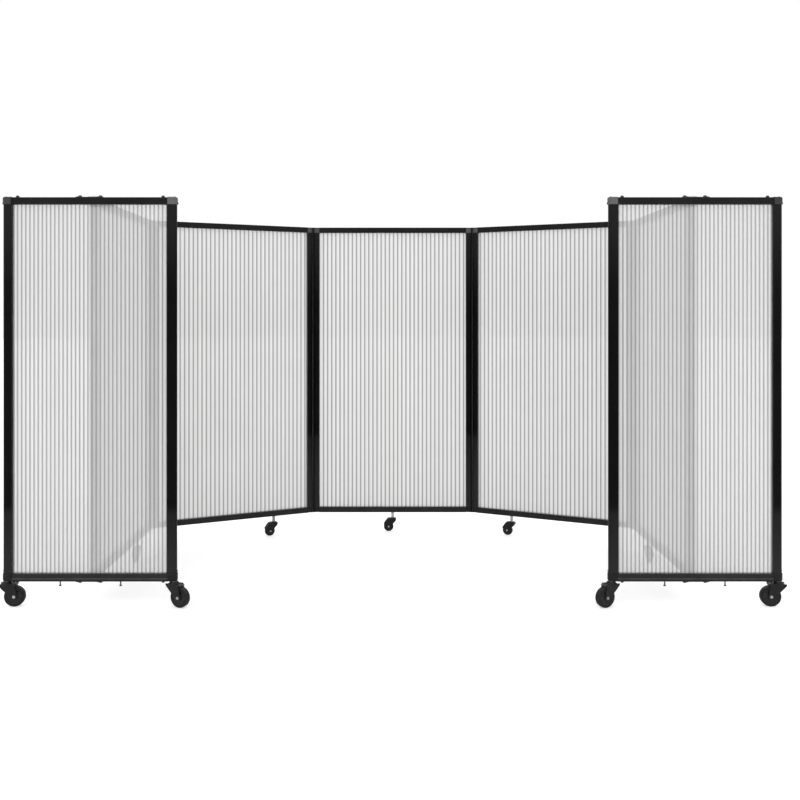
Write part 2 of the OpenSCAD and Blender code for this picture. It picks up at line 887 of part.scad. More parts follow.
centre_castor() small_fork();  // centre_small_fork
centre_castor() small_wheel();  // centre_small_wheel
inner_castor(-1) small_fork();  // left_inner_small_fork
inner_castor(-1) small_wheel();  // left_inner_small_wheel
outer_castor(-1) small_fork();  // left_outer_small_fork
outer_castor(-1) small_wheel();  // left_outer_small_wheel
inner_castor(1) small_fork();  // right_inner_small_fork
inner_castor(1) small_wheel();  // right_inner_small_wheel
outer_castor(1) small_fork();  // right_outer_small_fork
outer_castor(1) small_wheel();  // right_outer_small_wheel
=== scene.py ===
"""Looks of the accordion folding partition: sheets, castors, screws, caps and finishes.

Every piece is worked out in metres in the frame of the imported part. Panels stand on Z, the
middle panel looks along Y, and each castor has its own heading in the floor plane.
"""

import math

import bpy
import numpy as np
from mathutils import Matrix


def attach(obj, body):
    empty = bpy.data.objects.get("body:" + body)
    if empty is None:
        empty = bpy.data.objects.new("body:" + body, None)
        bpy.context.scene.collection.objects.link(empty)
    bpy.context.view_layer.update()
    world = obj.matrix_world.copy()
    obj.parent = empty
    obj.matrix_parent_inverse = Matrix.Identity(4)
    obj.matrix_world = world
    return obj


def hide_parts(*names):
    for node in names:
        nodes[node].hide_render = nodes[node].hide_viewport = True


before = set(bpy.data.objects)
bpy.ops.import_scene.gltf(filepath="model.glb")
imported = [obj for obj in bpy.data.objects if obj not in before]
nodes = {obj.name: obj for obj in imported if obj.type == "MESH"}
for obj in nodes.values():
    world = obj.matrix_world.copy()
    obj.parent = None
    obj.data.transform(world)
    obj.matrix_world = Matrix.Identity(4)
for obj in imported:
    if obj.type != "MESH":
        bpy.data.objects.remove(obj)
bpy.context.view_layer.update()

MM = 0.001
TURN = 2 * math.pi

# ---- sizes, in metres --------------------------------------------------------------------

# Sheets: half thickness, how far they reach into the grooves, and the cut of each kind, with
# the distance between its webs and the place of the web next to its middle
SHEET_HALF = 3 * MM
SHEET_IN = 9.2 * MM
FOLDING_SHEET = {"width": 753.4 * MM, "low": 112.8 * MM, "high": 1505.2 * MM,
                 "pitch": 20.7 * MM, "web": 4.3 * MM, "finish": "folding_sheet"}
END_SHEET = {"width": 594.4 * MM, "low": 114.8 * MM, "high": 1505.2 * MM,
             "pitch": 15.43 * MM, "web": 6.3 * MM, "finish": "end_sheet"}

# Panels: middle point on the floor, turn about Z in degrees
PANELS = {
    "centre": ((0.0, 0.599194), 0.0),
    "left_inner": ((-0.761876, 0.4268), 25.5),
    "left_outer": ((-1.125791, -0.149972), 90.0),
    "left_end": ((-1.125791, -0.570472), 0.0),
    "right_inner": ((0.761876, 0.4268), -25.5),
    "right_outer": ((1.125791, -0.149972), -90.0),
    "right_end": ((1.125791, -0.570472), 0.0),
}

# Castors: stem on the floor, heading from the stem to the axle in degrees
LARGE_CASTORS = {
    "left_outside": ((-1.436791, -0.570472), 6.0),
    "left_inside": ((-0.814791, -0.570472), -25.0),
    "right_inside": ((0.814791, -0.570472), -155.0),
    "right_outside": ((1.436791, -0.570472), 174.0),
}
SMALL_CASTORS = {
    "centre_small": ((0.0, 0.599194), 180.0),
    "left_inner_small": ((-0.586323, 0.510534), -154.5),
    "right_inner_small": ((0.586323, 0.510534), 154.5),
    "left_outer_small": ((-1.125791, 0.044528), -90.0),
    "right_outer_small": ((1.125791, 0.044528), -90.0),
}
# trail: from the stem to the axle; r, w: of the wheel; hub, bore, rim: radii of its disc;
# leg: outer face of a fork's leg; flat: from the middle of the bolt's head to its flats
LARGE = {"trail": 29 * MM, "r": 38 * MM, "w": 24 * MM, "hub": 11 * MM, "bore": 4.05 * MM,
         "rim": 27 * MM, "leg": 17 * MM, "flat": 4.6 * MM, "spokes": 8}
SMALL = {"trail": 20 * MM, "r": 24 * MM, "w": 18 * MM, "hub": 8.5 * MM, "bore": 3.05 * MM,
         "rim": 17 * MM, "leg": 13.5 * MM, "flat": 3.5 * MM, "spokes": 6}

# Heights of the frames, and the place of the cap over the top pivot behind the end panel
FRAME_LOW = 96 * MM
FRAME_TOP = 1522 * MM
PIVOT_BACK = 38 * MM
PIVOT_CAP_LOW = 1525.3 * MM

# Screws of an end panel, from its middle line: on the rails, on the pads of the pivot
# brackets, on top of the corner caps, and on their sides with the height of each
RAIL_SCREW_X = 271 * MM
PAD_SCREW_X = 38 * MM
PAD_THICK = 3.5 * MM
CAP_SCREW_X = 314 * MM
CAP_THICK = 2 * MM
SIDE_SCREWS = ((325.5 * MM, 1501 * MM), (323 * MM, 132 * MM))

# Pin of a brake pedal: its place ahead of the stem and its height
PEDAL_PIN = (27.3 * MM, 83 * MM)

# Camera: lens and shift from the photo's perspective, and its place
LENS_MM = 40.473
SENSOR_MM = 36
LENS_SHIFT = (0.0092, -0.1069)
EYE = (0.0, -3.9214, 1.0868)


# ---- shapes on grids ---------------------------------------------------------------------

CELLS = 1e7     # for each metre: points in the same cell become one corner


def seal(points):
    """Corners and faces of a grid [rows, columns, xyz]: equal points become one, so that a
    repeated first column closes a ring and a row of equal points closes a pole."""
    rows, columns, _ = points.shape
    flat = points.reshape(-1, 3)
    _, first, same = np.unique(np.round(flat * CELLS).astype(np.int64), axis=0,
                               return_index=True, return_inverse=True)
    number = same.reshape(rows, columns)
    corners = np.stack([number[:-1, :-1], number[:-1, 1:], number[1:, 1:], number[1:, :-1]], -1)
    corners = corners.reshape(-1, 4)
    a, b, c, d = corners.T
    flat_pair = [a == b, b == c, c == d, d == a]
    flats = np.sum(flat_pair, axis=0)
    whole = (flats == 0) & (a != c) & (b != d)
    quads = corners[whole]
    tips = [corners[(flats == 1) & pair][:, keep]
            for pair, keep in zip(flat_pair, ([0, 2, 3], [0, 1, 3], [0, 1, 2], [0, 1, 2]))]
    tips = np.concatenate(tips)
    tips = tips[np.all(tips != np.roll(tips, -1, 1), axis=1)]
    places = flat[first]
    fans = np.concatenate([quads[:, [0, 1, 2]], quads[:, [0, 2, 3]], tips])
    p, q, r = places[fans[:, 0]], places[fans[:, 1]], places[fans[:, 2]]
    if np.sum(p * np.cross(q, r)) < 0:
        quads, tips = quads[:, ::-1], tips[:, ::-1]
    return places, quads, tips


def piece(name, grids, finish, body, stands_for, sharp=32.0, maps=None):
    """One object from closed grids, with its finish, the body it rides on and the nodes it
    stands for. Edges over sharp degrees stay sharp. maps gives its UV maps from
    the corners' places."""
    places, quads, tips, start = [], [], [], 0
    for grid in grids:
        p, q, t = seal(grid)
        places.append(p)
        quads.append(q + start)
        tips.append(t + start)
        start += len(p)
    places, quads, tips = np.concatenate(places), np.concatenate(quads), np.concatenate(tips)
    mesh = bpy.data.meshes.new(name)
    mesh.from_pydata(places.tolist(), [], quads.tolist() + tips.tolist())
    mesh.shade_smooth()
    mesh.set_sharp_from_angle(angle=math.radians(sharp))
    corner = np.empty(len(mesh.loops), np.int32)
    mesh.loops.foreach_get("vertex_index", corner)
    for label, at in (maps or {}).items():
        layer = mesh.uv_layers.new(name=label)
        layer.data.foreach_set("uv", at(places)[corner].astype(np.float32).ravel())
    mesh.materials.append(finish)
    thing = bpy.data.objects.new(name, mesh)
    bpy.context.scene.collection.objects.link(thing)
    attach(thing, body)
    if stands_for:
        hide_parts(*stands_for)


def placed(points, origin, heading):
    """Turns points (x ahead, y to the left, z up) by heading degrees about Z, and shifts them
    to origin on the floor."""
    c, s = math.cos(math.radians(heading)), math.sin(math.radians(heading))
    x, y, z = points[..., 0], points[..., 1], points[..., 2]
    return np.stack([x * c - y * s, x * s + y * c, z], -1) + np.array([*origin, 0.0])


def turned(profile, around=48, axis="z", at=(0.0, 0.0, 0.0), shape=None):
    """Lathe work: the profile's points (radius, height) go once round the axis "z" or "y".
    shape may change radius and height by angle: shape(radius, height, angle) gives both."""
    profile = np.asarray(profile, float)
    angle = np.linspace(0, TURN, around + 1)
    angle[-1] = 0.0
    r = np.repeat(profile[:, :1], around + 1, 1)
    h = np.repeat(profile[:, 1:], around + 1, 1)
    a = np.repeat(angle[None, :], len(profile), 0)
    if shape is not None:
        r, h = shape(r, h, a)
    u, v = r * np.cos(a), r * np.sin(a)
    return np.stack({"z": (u, v, h), "y": (u, h, v)}[axis], -1) + np.array(at)


def softened(corners, radii, steps=6):
    """A polygon with its corners rounded: each corner P becomes the curve
    (1-s)(1-s)A + 2s(1-s)P + ssB between a point A before it and a point B after it, both at
    most the share below of the edge away, so that neighbouring curves never meet."""
    most = 0.48
    p = np.asarray(corners, float)
    before, after = np.roll(p, 1, 0) - p, np.roll(p, -1, 0) - p
    before_l = np.linalg.norm(before, axis=1, keepdims=True)
    after_l = np.linalg.norm(after, axis=1, keepdims=True)
    reach = np.broadcast_to(np.asarray(radii, float), len(p))[:, None]
    a = p + before / before_l * np.minimum(reach, most * before_l)
    b = p + after / after_l * np.minimum(reach, most * after_l)
    s = np.linspace(0, 1, steps + 1)[None, :, None]
    curve = (1 - s) ** 2 * a[:, None] + 2 * s * (1 - s) * p[:, None] + s ** 2 * b[:, None]
    return curve.reshape(-1, 2)


def arc(centre, r, start, end, steps):
    """Points of a circle from one angle to another, in degrees."""
    a = np.radians(np.linspace(start, end, steps + 1))
    return np.stack([centre[0] + r * np.cos(a), centre[1] + r * np.sin(a)], -1)


def counter_clockwise(outline):
    """The closed outline, reversed if its signed area is below zero."""
    x, y = outline[:, 0], outline[:, 1]
    area = np.sum(x * np.roll(y, -1) - np.roll(x, -1) * y) / 2
    return outline if area > 0 else outline[::-1]


def inset(outline, depth):
    """The closed outline moved inwards by depth along the mean normal of its two edges."""
    edge = np.roll(outline, -1, 0) - outline
    edge = edge / np.maximum(np.linalg.norm(edge, axis=1, keepdims=True), 1e-12)
    normal = np.stack([-edge[:, 1], edge[:, 0]], -1)
    mean = normal + np.roll(normal, 1, 0)
    mean = mean / np.maximum(np.linalg.norm(mean, axis=1, keepdims=True), 1e-9)
    return outline + mean * depth


def plate(outline, low, high, rounding, middle, steps=4, axis="y"):
    """A plate of the counter-clockwise outline from low to high, its faces closed at middle
    and its rims rounded: at angle t the rim is inset by rounding (1 - sin t) and lies
    rounding (1 - cos t) inside the face."""
    t = np.linspace(0, math.pi / 2, steps + 1)
    deep = np.concatenate([rounding * (1 - np.sin(t)), rounding * (1 - np.sin(t[::-1]))])
    level = np.concatenate([low + rounding * (1 - np.cos(t)),
                            high - rounding * (1 - np.cos(t[::-1]))])
    closed = np.concatenate([outline, outline[:1]])
    rings = [np.concatenate([ring, ring[:1]]) for ring in (inset(outline, d) for d in deep)]
    hub = np.broadcast_to(np.asarray(middle, float), closed.shape)
    rings = np.stack([hub] + rings + [hub])
    level = np.concatenate([[low], level, [high]])
    h = np.broadcast_to(level[:, None], rings.shape[:2])
    u, v = rings[..., 0], rings[..., 1]
    return np.stack({"y": (u, h, v), "z": (u, v, h)}[axis], -1)


def channel(upper, lower, low, high):
    """A bar along Y whose section lies between two curves with equally many points; its ends
    close on the curve half way between them."""
    loop = np.concatenate([upper, lower[::-1], upper[:1]])
    half = (upper + lower) / 2
    seam = np.concatenate([half, half[::-1], half[:1]])
    rows = [(seam, low), (loop, low), (loop, high), (seam, high)]
    return np.stack([np.stack([c[:, 0], np.full(len(c), y), c[:, 1]], -1) for c, y in rows])


def smooth_step(x, low, high):
    """0 below low, 1 above high, and tt(3 - 2t) between."""
    t = np.clip((x - low) / (high - low), 0, 1)
    return t * t * (3 - 2 * t)


# ---- material nodes ----------------------------------------------------------------------

def add(tree, kind, inputs=None, **settings):
    """A node with its settings, and its input sockets set to a value or linked to a socket."""
    made = tree.nodes.new(kind)
    for key, value in settings.items():
        setattr(made, key, value)
    for key, value in (inputs or {}).items():
        put(tree, made.inputs[key], value)
    return made


def put(tree, socket, value):
    """Links a socket, or sets its plain value."""
    if isinstance(value, bpy.types.NodeSocket):
        tree.links.new(value, socket)
    else:
        socket.default_value = value


def calc(tree, operation, a, b=0.0, clamp=False):
    """One step of arithmetic."""
    return add(tree, "ShaderNodeMath", {0: a, 1: b}, operation=operation,
               use_clamp=clamp).outputs[0]


def mixed(tree, share, a, b):
    """Colour a with share of colour b."""
    return add(tree, "ShaderNodeMix", {0: share, 6: a, 7: b}, data_type="RGBA").outputs[2]


def spread(tree, value, low, high, to_low, to_high):
    """value mapped smoothly from low..high to to_low..to_high."""
    return add(tree, "ShaderNodeMapRange", {0: value, 1: low, 2: high, 3: to_low, 4: to_high},
               interpolation_type="SMOOTHSTEP").outputs[0]


def here(tree):
    """The place on the object, in metres."""
    return add(tree, "ShaderNodeTexCoord").outputs["Object"]


def noise(tree, scale, detail=3.0, rough=0.5):
    """Noise over the object's own place, scale in cells for each metre."""
    return add(tree, "ShaderNodeTexNoise", {"Vector": here(tree), "Scale": scale,
                                            "Detail": detail, "Roughness": rough}).outputs[0]


def part_of(tree, vector, axis):
    """One of the three numbers of a vector."""
    return add(tree, "ShaderNodeSeparateXYZ", {0: vector}).outputs[axis]


def group(name, inputs, outputs):
    """An empty shader group with sockets for numbers: inputs with their values, outputs."""
    tree = bpy.data.node_groups.new(name, "ShaderNodeTree")
    for label, value in inputs.items():
        tree.interface.new_socket(label, in_out="INPUT",
                                  socket_type="NodeSocketFloat").default_value = value
    for label in outputs:
        tree.interface.new_socket(label, in_out="OUTPUT", socket_type="NodeSocketFloat")
    return tree, tree.nodes.new("NodeGroupInput"), tree.nodes.new("NodeGroupOutput")


def edge_wear_group():
    """Rims where a softened normal leaves the true one, broken up by noise."""
    tree, given, out = group("edge_wear", {"Reach": 0.0012, "Amount": 0.5}, ["Mask"])
    soft = add(tree, "ShaderNodeBevel", {"Radius": given.outputs["Reach"]}, samples=4).outputs[0]
    true = add(tree, "ShaderNodeNewGeometry").outputs["Normal"]
    same = add(tree, "ShaderNodeVectorMath", {0: soft, 1: true}, operation="DOT_PRODUCT")
    rim = spread(tree, same.outputs["Value"], 0.985, 0.8, 0.0, 1.0)
    broken = spread(tree, noise(tree, 55.0, 4.0, 0.65), 0.35, 0.62, 0.25, 1.0)
    mask = calc(tree, "MULTIPLY", calc(tree, "MULTIPLY", rim, broken), given.outputs["Amount"])
    tree.links.new(mask, out.inputs["Mask"])
    return tree


def dust_group():
    """Dust that settles on faces that look up, in soft patches."""
    tree, given, out = group("dust", {"Amount": 0.3}, ["Mask"])
    up = part_of(tree, add(tree, "ShaderNodeNewGeometry").outputs["Normal"], "Z")
    lying = spread(tree, up, 0.35, 1.0, 0.0, 1.0)
    patch = spread(tree, noise(tree, 18.0, 5.0, 0.6), 0.3, 0.75, 0.2, 1.0)
    mask = calc(tree, "MULTIPLY", calc(tree, "MULTIPLY", lying, patch), given.outputs["Amount"])
    tree.links.new(mask, out.inputs["Mask"])
    return tree


def grain_group():
    """Fine pebbles of a baked or moulded skin, with broad cloudy drift beside them."""
    tree, given, out = group("grain", {"Scale": 900.0}, ["Height", "Drift"])
    where = here(tree)
    pebble = add(tree, "ShaderNodeTexVoronoi", {"Vector": where, "Scale": given.outputs["Scale"]},
                 feature="SMOOTH_F1").outputs["Distance"]
    fine = add(tree, "ShaderNodeTexNoise", {"Vector": where, "Scale": given.outputs["Scale"],
                                            "Detail": 2.0}).outputs[0]
    tree.links.new(calc(tree, "MULTIPLY", pebble, fine), out.inputs["Height"])
    tree.links.new(noise(tree, 7.0, 4.0, 0.55), out.inputs["Drift"])
    return tree


def drawn_lines_group():
    """Faint lines along Z, left by the die that a post, rail or sheet was drawn through."""
    tree, given, out = group("drawn_lines", {"Fineness": 420.0}, ["Lines"])
    where = add(tree, "ShaderNodeMapping", {"Vector": here(tree), "Scale": (1.0, 1.0, 0.004)})
    lines = add(tree, "ShaderNodeTexNoise", {"Vector": where.outputs[0], "Detail": 3.0,
                                             "Scale": given.outputs["Fineness"]}).outputs[0]
    tree.links.new(lines, out.inputs["Lines"])
    return tree


EDGE_WEAR = edge_wear_group()
DUST = dust_group()
GRAIN = grain_group()
DRAWN = drawn_lines_group()


def use(tree, shared, **inputs):
    """A shared group in a material, with its own values."""
    made = tree.nodes.new("ShaderNodeGroup")
    made.node_tree = shared
    for key, value in inputs.items():
        put(tree, made.inputs[key], value)
    return made


def colour(red, green, blue):
    """An opaque colour of linear light."""
    return (red, green, blue, 1.0)


SETTLED_DUST = colour(0.36, 0.35, 0.33)

# Where finishes change, in metres: at a height between the pieces at the top and those at the
# bottom, from the inner to the outer corners of the end panels, over the top ends of the
# posts, where painted light makes them slightly paler, and round the height below which
# painted light from the floor makes the posts paler, by a step and a slow fade
HALF_WAY = (0.798, 0.802)
INNER_TO_OUTER = (1.0, 1.25)
TOP_END = (1.12, 1.5)
FOOT_LIGHT_STEP = 0.025
FOOT_LIGHT_FADE = 0.25


def finish(name, base, second, worn, rough, drift, grain, bump, wear, reach=0.0012,
           dust=0.25, metal=0.0, specular=0.5, lines=0.0, upper=None, inward=None, band=None,
           painted_foot_and_top_light=None):
    """A material: base colour drifting to a second one, rims worn to a third, dust on faces
    that look up, grain in the bump, roughness from rough to rough + drift. lines is how much
    drawn lines add to the bump. upper is (colour, second): other colours for the pieces at
    the top. inward is the colour that these take towards the middle of the screen. band is
    (height, half width, colour): a painted highlight line at that height. The last argument is
    (height, colour, top colour): painted light, a paler foot below that height as if lit by the
    floor, and a slightly paler top end."""
    made = bpy.data.materials.new(name)
    made.use_nodes = True
    tree = made.node_tree
    shader = tree.nodes["Principled BSDF"]
    skin = use(tree, GRAIN, Scale=grain)
    rim = use(tree, EDGE_WEAR, Reach=reach, Amount=wear).outputs["Mask"]
    fallen = use(tree, DUST, Amount=dust).outputs["Mask"]
    share = spread(tree, skin.outputs["Drift"], 0.35, 0.7, 0.0, 1.0)
    tone = mixed(tree, share, base, second)
    z = part_of(tree, here(tree), "Z")
    # on the rails, upper paints shade: the top rails darker than the bottom ones, which the floor
    # lights
    if upper is not None:
        above = spread(tree, z, *HALF_WAY, 0.0, 1.0)
        other = mixed(tree, share, *upper)
        if inward is not None:
            x = calc(tree, "ABSOLUTE", part_of(tree, here(tree), "X"))
            other = mixed(tree, spread(tree, x, *INNER_TO_OUTER, 0.85, 0.0), other, inward)
        tone = mixed(tree, above, tone, other)
    # painted light: the foot is paler, as if lit by the floor, and the top end slightly paler
    if painted_foot_and_top_light is not None:
        height, foot_tone, end_tone = painted_foot_and_top_light
        foot = calc(tree, "ADD",
                    spread(tree, z, height - FOOT_LIGHT_STEP, height + FOOT_LIGHT_STEP, 0.55, 0.0),
                    spread(tree, z, height - FOOT_LIGHT_FADE, height, 0.45, 0.0))
        tone = mixed(tree, foot, tone, foot_tone)
        tone = mixed(tree, spread(tree, z, *TOP_END, 0.0, 1.0), tone, end_tone)
    # band: a painted highlight line at that height, broken up by noise
    if band is not None:
        height, half_width, highlight_tone = band
        off = calc(tree, "ABSOLUTE", calc(tree, "SUBTRACT", z, height))
        painted_highlight_line = calc(tree, "MULTIPLY",
                      spread(tree, off, 0.4 * half_width, half_width, 1.0, 0.0),
                      spread(tree, noise(tree, 30.0), 0.3, 0.6, 0.5, 1.0))
        tone = mixed(tree, painted_highlight_line, tone, highlight_tone)
    tone = mixed(tree, rim, tone, worn)
    tone = mixed(tree, fallen, tone, SETTLED_DUST)
    put(tree, shader.inputs["Base Color"], tone)
    matt = spread(tree, skin.outputs["Drift"], 0.3, 0.75, rough, rough + drift)
    matt = calc(tree, "ADD", matt, calc(tree, "MULTIPLY", fallen, 0.35), clamp=True)
    put(tree, shader.inputs["Roughness"], matt)
    skin_height = skin.outputs["Height"]
    if lines:
        drawn = use(tree, DRAWN, Fineness=420.0).outputs["Lines"]
        skin_height = calc(tree, "ADD", skin_height, calc(tree, "MULTIPLY", drawn, lines))
    relief = add(tree, "ShaderNodeBump",
                 {"Strength": bump, "Distance": 0.0004, "Height": skin_height})
    put(tree, shader.inputs["Normal"], relief.outputs["Normal"])
    shader.inputs["Metallic"].default_value = metal
    shader.inputs["Specular IOR Level"].default_value = specular
    return made


# Tones of the sheets' webs, drawn lines and rims, the rims' tone being painted light, how many
# flutes from a web and how many metres from the frame they fade out, and how much clearer the
# rims are, also painted light
WEB_TONE = colour(0.33, 0.33, 0.33)
LINE_TONE = colour(0.5, 0.5, 0.5)
RIM_LIGHT_TONE = colour(0.97, 0.97, 0.97)
WEB_FADE = (0.07, 0.27)
RIM_FADE = (0.002, 0.012)
RIM_LIGHT_CLEARER = 0.15


def sheet_finish(name, milky, dim, hides, web_hides):
    """Fluted translucent plastic: a milky skin with a dimmer band in each flute, painted shading
    of the flute's curve, greyer and denser over the webs, and faint lines and cloudiness from
    the extruder. Beside the frame the skin is painted paler and thinner, painted light against
    the shade that the frame casts on it. hides and web_hides are the shares of light that the
    skin stops between the webs and over them."""
    made = bpy.data.materials.new(name)
    made.use_nodes = True
    tree = made.node_tree
    shader = tree.nodes["Principled BSDF"]
    flute = part_of(tree, add(tree, "ShaderNodeUVMap", uv_map="flutes").outputs[0], "X")
    web = spread(tree, calc(tree, "PINGPONG", flute, 0.5), *WEB_FADE, 1.0, 0.0)
    wave = calc(tree, "SINE", calc(tree, "MULTIPLY", calc(tree, "FRACT", flute), TURN))
    rim = add(tree, "ShaderNodeUVMap", uv_map="rim").outputs[0]
    nearest = calc(tree, "MINIMUM", part_of(tree, rim, "X"), part_of(tree, rim, "Y"))
    # painted light: beside the frame the skin is paler and thinner, against the shade of the
    # frame
    painted_rim_light = spread(tree, nearest, *RIM_FADE, 1.0, 0.0)
    drawn = use(tree, DRAWN, Fineness=260.0).outputs["Lines"]
    cloud = use(tree, GRAIN, Scale=500.0).outputs["Drift"]
    # painted shading: one half of each flute is dimmer than the other, the shade of the flute's
    # curve
    milk = mixed(tree, spread(tree, wave, -1.0, 1.0, 0.0, 1.0), milky, dim)
    milk = mixed(tree, spread(tree, drawn, 0.35, 0.7, 0.0, 0.12), milk, LINE_TONE)
    milk = mixed(tree, painted_rim_light, milk, RIM_LIGHT_TONE)
    put(tree, shader.inputs["Base Color"], mixed(tree, web, milk, WEB_TONE))
    dense = spread(tree, web, 0.0, 1.0, hides, web_hides)
    dense = calc(tree, "ADD", dense, spread(tree, cloud, 0.3, 0.7, 0.0, 0.03))
    dense = calc(tree, "ADD", dense, calc(tree, "MULTIPLY", painted_rim_light, -RIM_LIGHT_CLEARER), clamp=True)
    put(tree, shader.inputs["Alpha"], dense)
    put(tree, shader.inputs["Roughness"], spread(tree, drawn, 0.3, 0.7, 0.42, 0.52))
    relief = add(tree, "ShaderNodeBump", {"Strength": 0.25, "Distance": 0.0003, "Height": drawn})
    put(tree, shader.inputs["Normal"], relief.outputs["Normal"])
    shader.inputs["Specular IOR Level"].default_value = 0.3
    return made


# What the drawn bars of the frames have in common, and the painted highlight along the base
# rails' lip edge
BAR = {"worn": colour(0.06, 0.06, 0.062), "rough": 0.3, "drift": 0.08, "grain": 1600.0,
       "bump": 0.05, "wear": 0.3, "lines": 0.5}
LIP_HIGHLIGHT = (0.1058, 0.0022, colour(0.085, 0.085, 0.086))
BLACK = colour(0.009, 0.009, 0.0095)


def post_finish(name, foot_top):
    """Black posts with painted light: paler up to foot_top as if lit by the floor, and slightly
    paler at the top end.
    """
    return finish(name, colour(0.0022, 0.0022, 0.0023), colour(0.0038, 0.0038, 0.0039),
                  **{**BAR, "worn": colour(0.05, 0.05, 0.052)}, specular=0.04, dust=0.05,
                  # painted light on the foot and on the top end
                  painted_foot_and_top_light=(foot_top, colour(0.023, 0.023, 0.0233),
                           colour(0.014, 0.014, 0.0142)))


def rail_finish(name, base, second, band=None):
    """Black rails with painted light: the bottom ones paler than the top ones, as if lit by the
    floor.
    """
    return finish(name, colour(base, base, 1.02 * base), colour(second, second, 1.02 * second),
                  **BAR, specular=0.1, dust=0.06, band=band,
                  upper=(colour(0.0068, 0.0068, 0.007), colour(0.0105, 0.0105, 0.0108)))


FINISH = {
    "post": post_finish("post_black", 0.48),
    "end_post": post_finish("end_post_black", 0.36),
    "rail": rail_finish("rail_black", 0.015, 0.020),
    "end_rail": rail_finish("end_rail_black", 0.018, 0.024, LIP_HIGHLIGHT),
    "block": finish("corner_block_grey", colour(0.006, 0.006, 0.0065), BLACK,
                    colour(0.06, 0.06, 0.06), rough=0.42, drift=0.1, grain=700.0, bump=0.2,
                    wear=0.35, specular=0.16, dust=0.1,
                    upper=(colour(0.095, 0.095, 0.097), colour(0.060, 0.060, 0.061))),
    "cap": finish("corner_cap_grey", colour(0.007, 0.007, 0.0075), BLACK,
                  colour(0.09, 0.09, 0.09), rough=0.45, drift=0.1, grain=650.0, bump=0.22,
                  wear=0.35, specular=0.16, dust=0.1,
                  upper=(colour(0.044, 0.044, 0.045), colour(0.022, 0.022, 0.023)),
                  inward=colour(0.135, 0.135, 0.137)),
    "hinge": finish("hinge_black", colour(0.0035, 0.0035, 0.0036), colour(0.006, 0.006, 0.0062),
                    colour(0.10, 0.10, 0.104), rough=0.42, drift=0.12, grain=800.0, bump=0.15,
                    wear=0.4, specular=0.1, dust=0.08),
    "bracket": finish("bracket_steel", colour(0.030, 0.030, 0.032), colour(0.045, 0.045, 0.047),
                      colour(0.30, 0.30, 0.31), rough=0.38, drift=0.12, grain=600.0, bump=0.2,
                      wear=0.5, specular=0.35, dust=0.2),
    "screw": finish("screw_black", colour(0.030, 0.030, 0.031), colour(0.045, 0.045, 0.046),
                    colour(0.25, 0.25, 0.26), rough=0.34, drift=0.12, grain=900.0, bump=0.15,
                    wear=0.6, reach=0.0005, specular=0.4, dust=0.2),
    "zinc": finish("zinc_plate", colour(0.35, 0.36, 0.37), colour(0.25, 0.255, 0.265),
                   colour(0.60, 0.60, 0.61), rough=0.32, drift=0.16, grain=1300.0, bump=0.14,
                   wear=0.4, reach=0.0005, dust=0.2, metal=1.0),
    "silver": finish("pale_cap", colour(0.66, 0.66, 0.66), colour(0.58, 0.58, 0.58),
                     colour(0.82, 0.82, 0.82), rough=0.34, drift=0.14, grain=1200.0, bump=0.12,
                     wear=0.3, dust=0.1, metal=0.25),
    "fork": finish("fork_black", colour(0.007, 0.007, 0.0073), colour(0.011, 0.011, 0.0115),
                   colour(0.10, 0.10, 0.104), rough=0.36, drift=0.14, grain=750.0, bump=0.15,
                   wear=0.4, specular=0.18, dust=0.06),
    "hood": finish("moulded_black", colour(0.006, 0.006, 0.0063), colour(0.009, 0.009, 0.0094),
                   colour(0.07, 0.07, 0.072), rough=0.42, drift=0.14, grain=520.0, bump=0.2,
                   wear=0.35, specular=0.16, dust=0.06),
    "tyre": finish("tyre_rubber", colour(0.009, 0.009, 0.009), colour(0.014, 0.014, 0.0135),
                   colour(0.05, 0.048, 0.045), rough=0.55, drift=0.18, grain=420.0, bump=0.3,
                   wear=0.4, specular=0.18, dust=0.15),
    "hub": finish("hub_black", colour(0.012, 0.012, 0.0125), colour(0.018, 0.018, 0.0187),
                  colour(0.09, 0.09, 0.092), rough=0.4, drift=0.14, grain=600.0, bump=0.2,
                  wear=0.4, specular=0.2, dust=0.12),
    "pedal": finish("pedal_black", colour(0.016, 0.016, 0.017), colour(0.024, 0.024, 0.025),
                    colour(0.10, 0.10, 0.10), rough=0.44, drift=0.14, grain=480.0, bump=0.3,
                    wear=0.55, specular=0.34, dust=0.25),
    # painted light: the folding sheets' tones are paler than the end sheets', making up for the
    # light they lose inside the U of panels
    "folding_sheet": sheet_finish("folding_sheet", colour(0.96, 0.96, 0.96),
                                  colour(0.89, 0.89, 0.89), hides=0.52, web_hides=0.62),
    "end_sheet": sheet_finish("end_sheet", colour(0.84, 0.84, 0.84), colour(0.78, 0.78, 0.78),
                              hides=0.485, web_hides=0.72),
}


# ---- the sheets --------------------------------------------------------------------------

